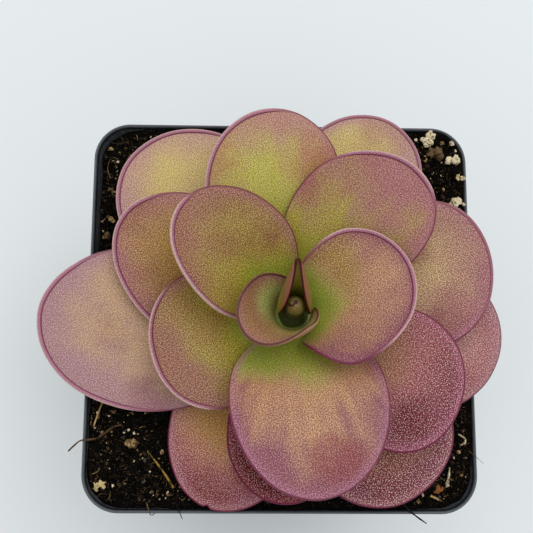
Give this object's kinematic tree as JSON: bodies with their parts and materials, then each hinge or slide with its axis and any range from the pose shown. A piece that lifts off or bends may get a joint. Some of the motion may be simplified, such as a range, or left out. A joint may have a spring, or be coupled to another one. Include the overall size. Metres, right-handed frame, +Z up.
{
  "type": "potted butterwort",
  "caption": "Butterwort, a low spiral rosette of broad fleshy leaves shading from lime green to mauve, rooted in peaty mix in a small square black nursery pot.",
  "frame": {"origin": "centre of the pot's flat underside", "axes": "+Z up; +X and -Y along two sides of the square pot; the longest leaf points to -X"},
  "size_m": [0.0893, 0.0776, 0.0926],
  "materials": {
    "pot": "satin black, moulded",
    "soil": "moist peaty mix with perlite and bark",
    "crown": "matte green stem",
    "bud": "satin, rolled leaf",
    "leaf_olive": "satin, finely glandular",
    "leaf_rose": "satin, finely glandular",
    "leaf_maroon": "satin, finely glandular"
  },
  "bodies": {
    "root": {"pot": "pot", "soil": "soil", "crown": "crown", "bud": "bud", "leaf_01": "leaf_olive", "leaf_02": "leaf_olive", "leaf_03": "leaf_olive", "leaf_04": "leaf_olive", "leaf_05": "leaf_rose", "leaf_06": "leaf_olive", "leaf_07": "leaf_olive", "leaf_08": "leaf_maroon", "leaf_09": "leaf_olive", "leaf_10": "leaf_maroon", "leaf_11": "leaf_rose", "leaf_12": "leaf_olive", "leaf_13": "leaf_maroon", "leaf_14": "leaf_rose", "leaf_15": "leaf_rose", "leaf_16": "leaf_rose", "leaf_17": "leaf_rose", "leaf_18": "leaf_maroon"}
  },
  "joints": []
}
